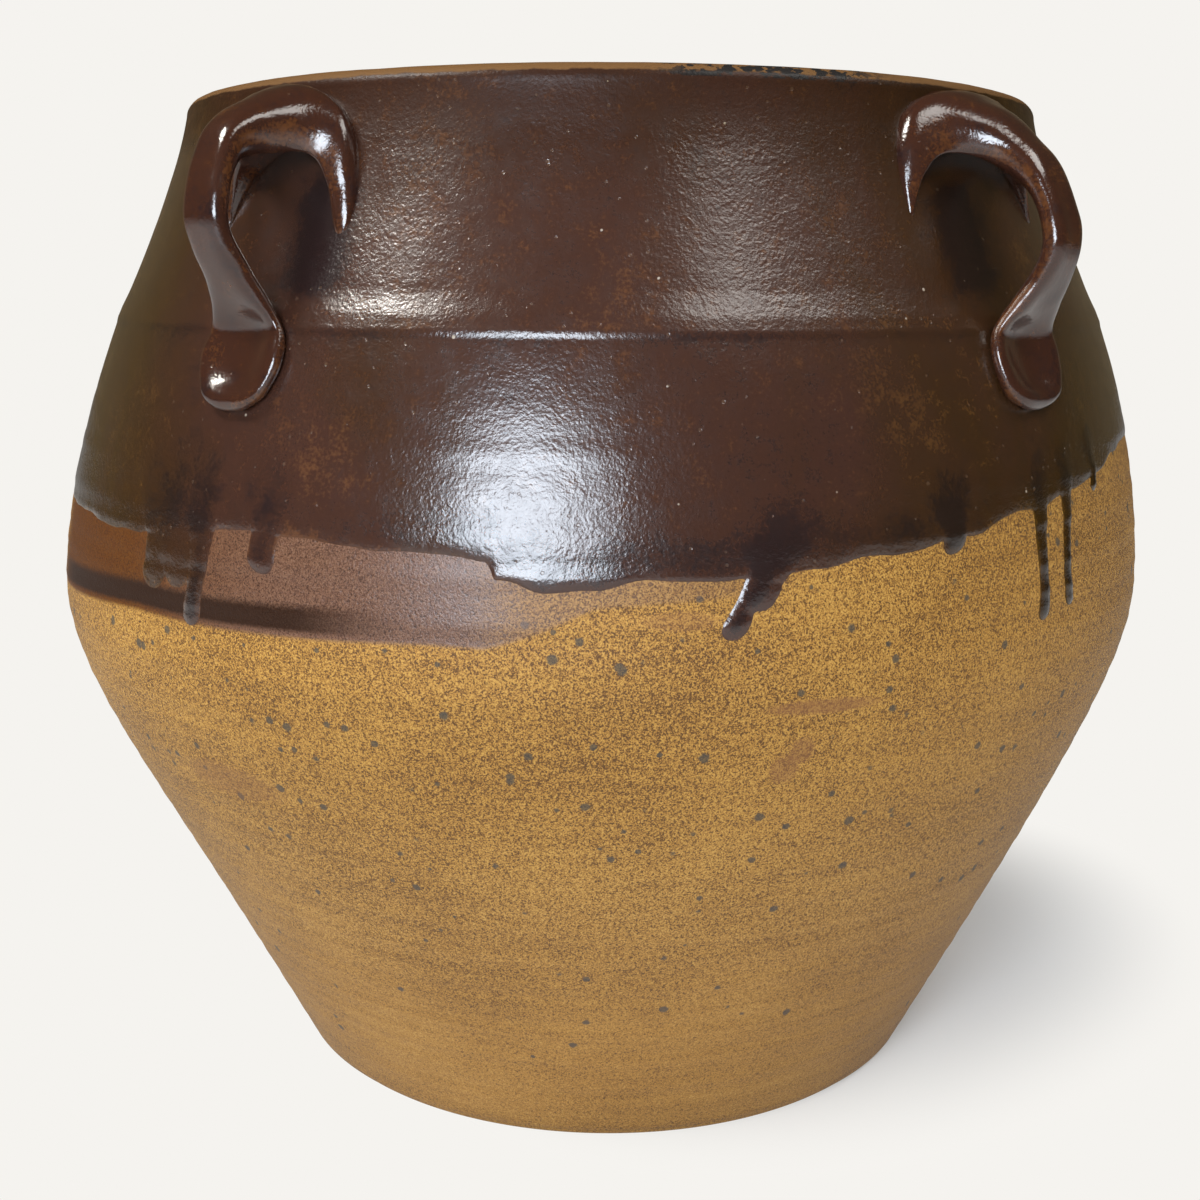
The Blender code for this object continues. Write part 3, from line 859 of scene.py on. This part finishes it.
def coatOutline():
    inner = potForm["rimRadius"] - potForm["wall"]
    lowest, core = coatPlan["lowest"], coatPlan["core"]
    skin = [(inner, neckTop - tuck) for tuck in coatPlan["tucks"]] + lipArc(16, 180, 0)
    skin += outerStations(lowest, neckTop, coatPlan["rowStep"])[::-1]
    coreWay = [lowest + share * (neckTop - lowest) for share in (0, 0.25, 0.5, 0.75, 1.0)]
    back = [(plainAt(height) - core, float(height)) for height in coreWay]
    return skin + back + lipArc(5, 20, 160, core) + [(inner + core, neckTop - coatPlan["tucks"][0])]


def makeGlazeCoat():
    plan = coatPlan
    mesh = bmesh.new()
    spinOutline(mesh, coatOutline(), plan["columns"], closed=True)
    for reach in plan["refine"]:
        refineEdge(mesh, reach)
    piece = asPiece(mesh, "glazeCoat", makeCoatGlaze())
    points, normals, radius, height = readSkin(piece)
    gap, thick = coatFields(points)
    half, ridge = potForm["wall"] / 2, potForm["ridgeHeight"]
    middle = potForm["rimRadius"] - half
    lipOut = np.hypot(radius - middle, height - neckTop)
    depth = np.where(height > neckTop, half - lipOut, wallRadius(height) - radius)
    onSkin = (depth < 0.0006) | (radius < potForm["rimRadius"] - potForm["wall"] + 0.0002)
    crest = smoothStep(height, neckTop - 0.004, neckTop + half * 0.9)
    inner = np.where(radius < middle, nearLip(height, 0.0058, 0.001), 1)
    uneven = sum(size * lumps(points, *form) for size, *form in plan["uneven"])
    # thin on the crest of the lip and on the ridge, and sunk into the clay inside the lip
    lift = thick * (1 - 0.55 * crest) - 0.12 * hump(height - ridge, 0.0006, 0.0016)
    lift = lift + np.where(gap > 1.0, uneven, 0)
    lift = np.where(inner < 1, lift * inner - 0.3 * (1 - inner), lift)
    points += normals * np.where(onSkin, lift / 1000 + throwingRings(points), 0)[:, None]
    settle(piece, points)
    azimuth = azimuthOf(points)
    inFront = window(azimuth, *plan["front"])
    pooledAndShade = 0.34 * hump(gap, 5.5, 5.5) * (0.35 + 0.65 * inFront)
    for share, *form in plan["ridgePools"]:
        pooledAndShade += share * hump(height - ridge, *form)
    # painted shadow: the neck behind each handle is darkened by counting its glaze deeper there
    share, reach = plan["handleShadowForm"]
    for place in plan["handleShadows"]:
        behind = hump(turnFrom(azimuth, place), 0, reach)
        pooledAndShade += share * behind * window(height, *plan["handleShadowBand"])
    seen = np.minimum(thick + 0.24, 0.62) + 1.8 * np.clip(thick - 0.34, 0, 1)
    # the depth that the colour sees, with real pooling and the painted handle shadows added in
    writeValues(piece, "coatDepthAndShade", seen + uneven + pooledAndShade)
    writeValues(piece, "lipWear", smoothStep(height, neckTop + half * 0.15, neckTop + half * 0.8))
    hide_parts("glaze_coat")
    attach(piece, "root")


makeGlazeCoat()
print("glaze coat laid")


# The glaze inside, pooled on the floor.
liningPlan = {
    "columns": 252,
    "thickness": 0.0005,
    "step": 0.0024,
    "top": 0.0045,      # how far below the lip's middle it ends
    "depth": 0.0012,    # how deep its back lies in the clay
    "sag": (0.00012, 0.03, 5),
}


def liningOutline():
    floor, depth = potForm["floor"], liningPlan["depth"]
    inside = [(0, floor)]
    inside += [point for point in innerStations(liningPlan["step"]) if point[1] < neckTop - liningPlan["top"]]
    far = [(radius + depth, height - depth) for radius, height in inside[::6]]
    far[0] = (0, floor - depth)
    return inside + [(inside[-1][0] + depth, inside[-1][1])] + far[::-1]


def makeLining():
    mesh = bmesh.new()
    spinOutline(mesh, liningOutline(), liningPlan["columns"])
    piece = asPiece(mesh, "liningGlaze", makeLiningGlaze())
    points, normals, radius, height = readSkin(piece)
    floor, end = potForm["floor"], neckTop - liningPlan["top"]
    facing = np.where(height < floor + 0.004, normals[:, 2] > 0.2, facingOut(points, normals) < 0)
    run = np.where(height > floor + 0.001, height, floor - (potForm["footRadius"] - radius) * 0.8)
    ribs = np.sin(tau * run / wallPlan["innerPitch"] + np.radians(azimuthOf(points)))
    calm = smoothStep(radius, 0.004, 0.02) * (1 - nearLip(height, 0.02, 0.008))
    top = smoothStep(height, end - 0.004, end)
    size, *form = liningPlan["sag"]
    lift = liningPlan["thickness"] * (1 - top) - 0.0003 * top
    lift = lift + wallPlan["innerRib"] * (0.5 + 0.5 * ribs) * calm + size * lumps(points, *form)
    points += normals * np.where(facing, lift, 0)[:, None]
    settle(piece, points)
    pool = 0.35 * (1 - smoothStep(radius, 0.03, 0.09)) * (height < floor + 0.01)
    thick = 0.55 - 0.28 * ribs * calm + pool - 0.4 * nearLip(height, 0.02, 0.003)
    writeValues(piece, "liningThickness", thick)
    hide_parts("glaze_lining")
    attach(piece, "root")


makeLining()
print("lining poured")


# The pulled strap handles.
strapPlan = {
    "reach": 0.025,
    "width": 0.0134,
    "thickness": 0.0084,
    # the arch under the saddle and its outer line: half width, height, and how square it is
    "saddles": {
        "roundRoute": ((0.0232, 0.0226, 0.84), (0.0268, 0.0392, 0.64)),
        "squareRoute": ((0.0166, 0.0262, 0.92), (0.0236, 0.0442, 0.9)),
    },
    "terminalWidth": 0.028,
    "thumbHollow": 0.0056,
    "belowRim": 0.007,
    "span": 0.0765,
    "facets": 24,
    "stations": 77,
    "square": 0.92,          # 1 is an oval section, and less is squarer
    "rootSquare": 0.58,
    "rimPower": 2.5,         # how close to its edges the glaze breaks
    "uneven": 0.0006,
    # shares of the reach, of the way down and of the thickness, along the middle of the strap
    "roundRoute": (
        (-0.28, 0.018, 1.85), (0.0, 0.018, 1.85), (0.08, 0.022, 1.84), (0.17, 0.031, 1.78), (0.27, 0.046, 1.68),
        (0.39, 0.073, 1.54), (0.53, 0.11, 1.42), (0.68, 0.155, 1.29), (0.83, 0.212, 1.16), (0.92, 0.282, 1.05),
        (0.955, 0.362, 1.01), (0.92, 0.444, 0.97), (0.8, 0.512, 0.95), (0.6, 0.583, 0.93), (0.36, 0.663, 0.94),
        (0.13, 0.745, 1.0), (0.1, 0.828, 1.12), (0.1, 0.908, 1.12), (0.09, 0.966, 0.92), (0.03, 1.0, 0.36),
    ),
    "squareRoute": (
        (-0.28, 0.028, 1.95), (0.0, 0.028, 1.95), (0.09, 0.032, 1.95), (0.19, 0.038, 1.93), (0.3, 0.048, 1.89),
        (0.44, 0.066, 1.82), (0.59, 0.09, 1.72), (0.78, 0.114, 1.58), (0.97, 0.156, 1.36), (1.04, 0.235, 1.14),
        (1.04, 0.325, 1.01), (0.97, 0.41, 0.97), (0.81, 0.486, 0.95), (0.56, 0.572, 0.93), (0.3, 0.66, 0.94),
        (0.11, 0.742, 1.0), (0.1, 0.826, 1.12), (0.1, 0.906, 1.12), (0.09, 0.966, 0.92), (0.03, 1.0, 0.36),
    ),
    # shares of the saddle's width and of the terminal's, then of the saddle's droop, the hollow and the lean
    "rows": (
        (1, 0, 1, 0, 1), (1, 0, 1, 0, 1), (0.97, 0, 0.82, 0, 1), (0.87, 0, 0.52, 0, 1), (0.68, 0, 0.3, 0, 0.92),
        (0.45, 0, 0.17, 0.02, 0.76), (0.25, 0, 0.09, 0.06, 0.52), (0.11, 0, 0.04, 0.14, 0.26),
        (0.03, 0, 0.01, 0.22, 0.08), (0, 0, 0, 0.26, 0), (0, 0, 0, 0.26, 0), (0, 0, 0, 0.25, 0),
        (0, 0.02, 0, 0.25, 0), (0, 0.1, 0, 0.25, 0), (0, 0.4, 0, 0.46, 0), (0, 0.8, 0, 0.88, 0),
        (0, 1, 0, 1.05, 0), (0, 0.86, 0, 0.92, 0), (0, 0.42, 0, 0.3, 0), (0, -0.45, 0, 0, 0),
    ),
    # body of the frame, azimuth, route, degrees that the pad is set off its root, seed of its unevenness
    "handles": {
        "handleFrontRight": ("handle_front_right", -5.5, "roundRoute", -0.2, 11),
        "handleFrontLeft": ("handle_front_left", 275.5, "squareRoute", 0.9, 12),
        "handleBackRight": ("handle_back_right", 95.5, "roundRoute", 0.6, 13),
        "handleBackLeft": ("handle_back_left", 174.5, "squareRoute", -0.5, 14),
    },
    "padFrom": (0.45, 0.75),   # shares of the way between which the pad turns off
}
handleTop = potForm["height"] - strapPlan["belowRim"]


def signedPower(value, power):
    return copysign(abs(value) ** power, value)


def betweenRows(route, place):
    # a smooth curve through the table's rows
    rows = [(*step, *row) for step, row in zip(strapPlan[route], strapPlan["rows"])]
    index = min(int(place), len(rows) - 2)
    way = place - index
    before, start = rows[max(index - 1, 0)], rows[index]
    end, after = rows[index + 1], rows[min(index + 2, len(rows) - 1)]
    values = []
    for a, b, c, d in zip(before, start, end, after):
        slopes = (c - a) * way + (2 * a - 5 * b + 4 * c - d) * way**2 + (3 * b - 3 * c + d - a) * way**3
        values.append(b + slopes / 2)
    return values


def strapCentre(route, place):
    reach, drop = betweenRows(route, place)[:2]
    height = handleTop - drop * strapPlan["span"]
    return plainAt(height) + reach * strapPlan["reach"], height


def strapAlong(route, place):
    # the strap's direction in its own upright plane, which follows the neck over the saddle
    step = 1 / 25
    r0, z0 = strapCentre(route, max(place - step, 0))
    r1, z1 = strapCentre(route, min(place + step, len(strapPlan["rows"]) - 1))
    lean = min(max(betweenRows(route, place)[7], 0), 1)
    drop = strapPlan["saddles"][route][0][1]
    slope = atan2(plainAt(handleTop - drop) - plainAt(handleTop), drop)
    length = hypot(r1 - r0, z1 - z0)
    out = (1 - lean) * (r1 - r0) / length + lean * cos(slope)
    up = (1 - lean) * (z1 - z0) / length + lean * sin(slope)
    size = hypot(out, up)
    return out / size, up / size


def strapSection(route, place, facets):
    plan = strapPlan
    # the strap's outline across its run, with how near each point is to the strap's edge
    thicknessShare, rootShare, terminalShare, droopShare, hollowShare = betweenRows(route, place)[2:7]
    rootShare, droopShare = (min(max(share, 0), 1) for share in (rootShare, droopShare))
    halfWidth = between(plan["width"], plan["terminalWidth"], terminalShare) / 2
    hollow = plan["thumbHollow"] * max(hollowShare, 0)
    square = between(plan["square"], plan["rootSquare"], min(droopShare * 2, 1))
    saddle = plan["saddles"][route]
    saddleMiddle = sum(tall for wide, tall, power in saddle) / 2
    points = []
    for facet in range(facets):
        angle = tau * facet / facets
        across = signedPower(cos(angle), square)
        through = signedPower(sin(angle), square)
        arch = across * pi / 2
        level = (1 + through) / 2
        (innerSide, outerSide), (innerRise, outerRise) = zip(*(
            (wide * signedPower(sin(arch), power), tall * cos(arch) ** power)
            for wide, tall, power in saddle
        ))
        saddleSide = innerSide * (1 - level) + outerSide * level
        saddleRise = innerRise * (1 - level) + outerRise * level - saddleMiddle
        lift = plan["thickness"] * thicknessShare * through / 2
        if through > 0:
            lift -= hollow * (1 - across**2) ** 1.5
        side = halfWidth * across * (1 - rootShare) + saddleSide * rootShare
        rise = lift * (1 - droopShare) + saddleRise * droopShare
        points.append((side, rise, abs(across) ** plan["rimPower"]))
    return points


def strapRing(route, place, azimuth, facets):
    radius, height = strapCentre(route, place)
    along = strapAlong(route, place)
    points = []
    for side, rise, rim in strapSection(route, place, facets):
        out = radius - rise * along[1]
        turned = radians(azimuth) + side / radius
        points.append(((out * cos(turned), out * sin(turned), height + rise * along[0]), rim))
    return points


def strapCap(mesh, corners):
    for index in range(len(corners) // 2):
        ring = [corners[index], corners[index + 1], corners[-index - 1], corners[-index]]
        mesh.faces.new(list(dict.fromkeys(ring)))


def makeHandle(name, material):
    node, azimuth, route, padTurn, seed = strapPlan["handles"][name]
    mesh = bmesh.new()
    rimLayer = mesh.verts.layers.float.new("strapRim")
    facets, stations = strapPlan["facets"], strapPlan["stations"]
    last = len(strapPlan["rows"]) - 1
    places = [last * station / (stations - 1) for station in range(stations)]
    turns = azimuth + padTurn * smoothStep(np.array(places) / last, *strapPlan["padFrom"])
    corners = [mesh.verts.new() for facet in range(facets)]
    for place, turned in zip(places, turns):
        if place > 0:
            made = set(bmesh.ops.extrude_edge_only(mesh, edges=edges)["geom"])
            ends = ([edge.other_vert(corner) for edge in corner.link_edges] for corner in corners)
            corners = [next(end for end in choice if end in made) for choice in ends]
        for corner, (point, rim) in zip(corners, strapRing(route, place, turned, facets)):
            corner.co = point
            corner[rimLayer] = rim
        pairs = zip(corners, corners[1:] + corners[:1])
        edges = [mesh.edges.get(pair) or mesh.edges.new(pair) for pair in pairs]
        if place in (places[0], places[-1]):
            strapCap(mesh, corners)
    bmesh.ops.recalc_face_normals(mesh, faces=mesh.faces)
    piece = asPiece(mesh, name, material)
    points, normals = readSkin(piece)[:2]
    # fingers left it uneven
    uneven = lumps(points, 0.013, seed) + 0.5 * lumps(points, 0.0055, seed + 20)
    settle(piece, points + normals * (strapPlan["uneven"] * uneven)[:, None])
    smooth = piece.modifiers.new("softened clay", "SUBSURF")
    smooth.levels = 1
    smooth.render_levels = 1
    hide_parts(node)
    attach(piece, "root")


handleGlaze = makeHandleGlaze()
for handleName in strapPlan["handles"]:
    makeHandle(handleName, handleGlaze)
print("handles pulled")


# The floor, the room and the lamps.
stagePlan = {
    "pale": (0.913, 0.896, 0.863),
    "floor": (0.735, 0.745, 0.755),
    "floorRadius": 6.0,
    # the floor fades into the pale ground between these distances from the middle of the shadow
    "litTo": (0.055, 0.135),
    "shadowMiddle": (0.035, 0.085, 0),
    "shadowReach": (1.0, 0.74, 0),
    "room": (1.0, 0.985, 0.96),
    "roomLevel": 0.23,
    "behindLevel": 0.18,
    "dimLevel": 0.06,
    "mirrored": (0.95, 0.76, 0.48),   # the warm room that the glaze mirrors
    "mirrorFade": (1.8, 0.25),
    "frontAzimuth": -48.5,
    "lampAim": (0, 0, 0.18),
    "lampDistance": 1.7,
}


def raysOf():
    # what the camera sees straight, and what it sees in glaze
    path = addNode("LightPath").outputs
    return path["Is Camera Ray"], calc("MAXIMUM", path["Is Glossy Ray"], path["Is Transmission Ray"])


def makeFloor():
    plan = stagePlan
    mesh = bmesh.new()
    bmesh.ops.create_circle(mesh, cap_ends=True, segments=96, radius=plan["floorRadius"])
    material, shader, vector = newMaterial("paleFloor")
    shader.inputs["Roughness"].default_value = 0.9
    shader.inputs["Specular IOR Level"].default_value = 0.1
    darker = tuple(value * 0.995 for value in plan["floor"])
    colour = mixColour(grain(vector, 40.0, 2.0), plan["floor"], darker)
    feed(shader.inputs["Base Color"], colour)
    away = vectorMath("SUBTRACT", vector, plan["shadowMiddle"])["Vector"]
    away = vectorMath("MULTIPLY", away, plan["shadowReach"])["Vector"]
    far = spread(vectorMath("LENGTH", away)["Value"], *plan["litTo"])
    # in the glaze the floor grows dim towards the room's far end
    direct, mirrored = raysOf()
    reach = vectorMath("LENGTH", vector)["Value"]
    mirrored = times(mirrored, spread(reach, *plan["mirrorFade"], 0.1, 1.0))
    share = times(far, calc("MAXIMUM", direct, mirrored))
    plain = addNode("Emission", {"Color": plan["pale"], "Strength": 1.0})
    both = addNode("MixShader", {0: share, 1: shader.outputs[0], 2: plain.outputs[0]})
    feed(material.node_tree.nodes["Material Output"].inputs["Surface"], both.outputs[0])
    floor = asPiece(mesh, "floor", material)


def background(colour, strength):
    return addNode("Background", {"Color": colour, "Strength": strength}).outputs[0]


def makeRoom():
    plan = stagePlan
    world = bpy.data.worlds.new("room")
    scene.world = world
    world.use_nodes = True
    world.node_tree.nodes.clear()
    opened["tree"] = world.node_tree
    direct, mirrored = raysOf()
    direction = addNode("TexCoord").outputs["Generated"]
    front = dotWith(direction, levelWay(plan["frontAzimuth"]))
    low = spread(heightOf(direction), 0.55, 0.15)
    behind = times(spread(front, -0.15, -0.75), low)
    strength = spread(behind, 0.0, 1.0, plan["dimLevel"], plan["behindLevel"])
    backdrop = background(plan["mirrored"], strength)
    level = background(plan["room"], plan["roomLevel"])
    lit = addNode("MixShader", {0: mirrored, 1: level, 2: backdrop}).outputs[0]
    seen = background(plan["pale"], 1.0)
    both = addNode("MixShader", {0: direct, 1: lit, 2: seen}).outputs[0]
    addNode("OutputWorld", {"Surface": both})


# azimuth from the front with right positive, elevation, width and height in degrees, radiance, colour
lampPlan = {
    "frontLamp": (-15.4, 15.2, 26, 22, 19.5, (0.8, 0.89, 1.0), "ELLIPSE"),
    "leftLamp": (-69, 52.5, 19, 13, 34.0, (1.0, 0.965, 0.9), "RECTANGLE"),
    "rightLamp": (57, 56, 40, 17, 6.5, (1.0, 0.975, 0.93), "RECTANGLE"),
}


def makeLamps():
    distance = stagePlan["lampDistance"]
    for name, (azimuth, elevation, wide, tall, radiance, colour, shape) in lampPlan.items():
        turn = radians(azimuth + stagePlan["frontAzimuth"])
        rise = radians(elevation)
        data = bpy.data.lights.new(name, "AREA")
        data.shape = shape
        data.size, data.size_y = (2 * distance * tan(radians(angle / 2)) for angle in (wide, tall))
        area = data.size * data.size_y * (pi / 4 if shape == "ELLIPSE" else 1)
        data.energy = radiance * pi * area
        data.color = colour
        lamp = addObject(name, data)
        away = Vector((cos(turn) * cos(rise), sin(turn) * cos(rise), sin(rise)))
        lamp.location = Vector(stagePlan["lampAim"]) + distance * away
        lamp.rotation_mode = "QUATERNION"
        lamp.rotation_quaternion = (-away).to_track_quat("-Z", "Y")


makeFloor()
makeRoom()
makeLamps()
scene.view_settings.view_transform = "Standard"
print("stage lit")
